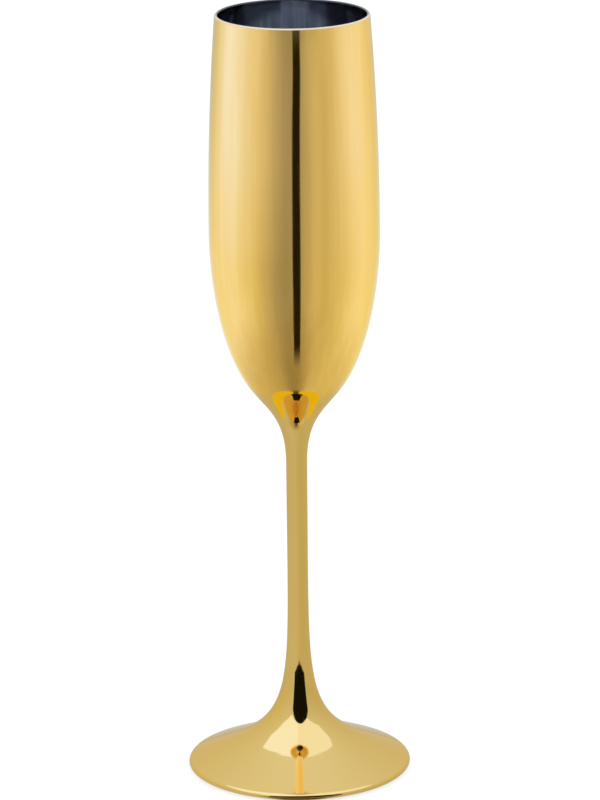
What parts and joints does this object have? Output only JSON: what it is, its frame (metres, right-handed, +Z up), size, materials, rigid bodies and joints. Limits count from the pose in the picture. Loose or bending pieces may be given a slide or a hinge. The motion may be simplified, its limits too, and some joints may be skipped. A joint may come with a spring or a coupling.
{
  "type": "champagne flute",
  "caption": "Tall stemmed glass with a slender tapered bowl, mirrored and lacquered gold outside and bare inside, for serving sparkling wine.",
  "frame": {"origin": "centre of the foot on the plane that the flute stands on", "axes": "+Z up along the flute's axis; the flute is round, so +X and +Y are any two directions across it"},
  "size_m": [0.0696, 0.0696, 0.24],
  "materials": {
    "clear_glass": "polished clear glass, bare at the lip, inside the bowl and under the foot",
    "mirror_film": "neutral mirror film, seen from behind through the glass as a dark blue-grey mirror",
    "gold_lacquer": "gold-tinted gloss lacquer over the mirror film, polished like gold"
  },
  "bodies": {
    "root": {"bowl": "clear_glass", "stem": "clear_glass", "foot": "clear_glass", "mirror_film": "mirror_film", "gold_lacquer": "gold_lacquer"}
  },
  "joints": []
}
